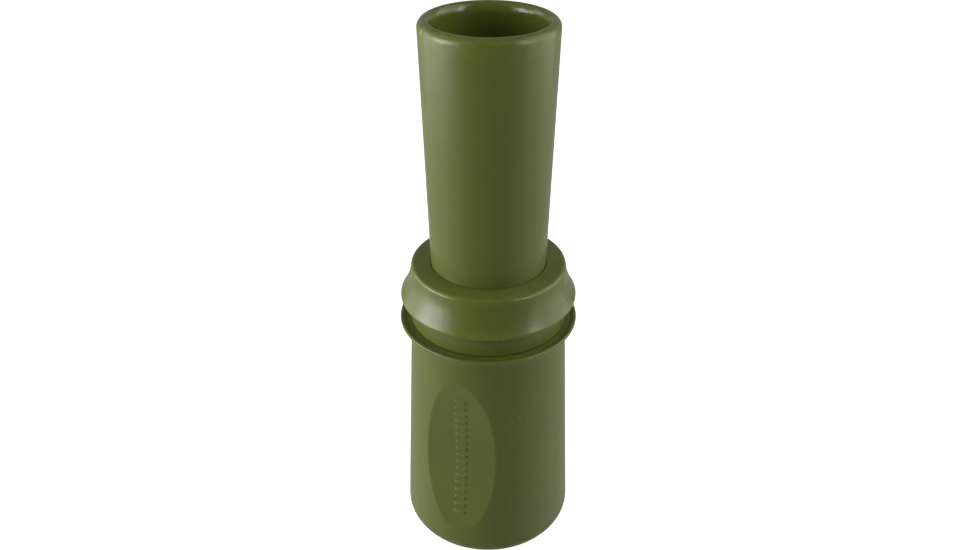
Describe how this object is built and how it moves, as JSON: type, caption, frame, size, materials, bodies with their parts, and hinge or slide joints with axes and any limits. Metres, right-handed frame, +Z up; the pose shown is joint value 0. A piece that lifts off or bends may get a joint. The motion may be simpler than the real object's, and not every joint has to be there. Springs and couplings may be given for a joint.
{
  "type": "grunt tube call",
  "caption": "Turned two-piece game call: flared barrel with a mouth bore and thumb panel, sealed insert with collar, lanyard groove and reed, and a tapered exhaust horn.",
  "frame": {"origin": "centre of the flat annular mouth end of the barrel, on the call's axis", "axes": "+Z up the call's axis from the mouth end to the rim of the horn, -Y to the front, where the thumb panel shows a little to the left, +X to the right seen from the front"},
  "size_m": [0.038, 0.038, 0.118],
  "materials": {
    "olive_plastic": "satin moulded olive-drab plastic, faintly mottled, a little glossier on the rounded rims",
    "black_rubber": "smooth greased nitrile rubber",
    "board_plastic": "polished amber plastic",
    "reed_film": "frosted polyester film",
    "cork": "dry natural cork"
  },
  "bodies": {
    "barrel": {"mouthpiece_barrel": "olive_plastic"},
    "seal_rings": {"upper_seal_ring": "black_rubber", "lower_seal_ring": "black_rubber"},
    "insert": {"insert_collar": "olive_plastic", "exhaust_horn": "olive_plastic", "tone_board": "board_plastic", "tone_board_seal_ring": "black_rubber", "reed_wedge": "cork"},
    "tuning_ring": {"tuning_ring": "black_rubber"},
    "reed": {"reed": "reed_film"}
  },
  "joints": [
    {"name": "insert_pull", "type": "slide", "parent": "barrel", "child": "seal_rings", "axis": [0, 0, 1], "range_m": [0, 0.05]},
    {"name": "insert_twist", "type": "hinge", "parent": "seal_rings", "child": "insert", "pos_m": [0, 0, 0.0445], "axis": [0, 0, 1], "continuous": true},
    {"name": "tuning_slide", "type": "slide", "parent": "insert", "child": "tuning_ring", "axis": [0, 0, 1], "range_m": [-0.006, 0.003]},
    {"name": "reed_flex", "type": "hinge", "parent": "insert", "child": "reed", "pos_m": [0, -0.00148, 0.034], "axis": [1, 0, 0], "range_deg": [0, 2.5], "stiffness_Nm_per_rad": 0.02}
  ]
}
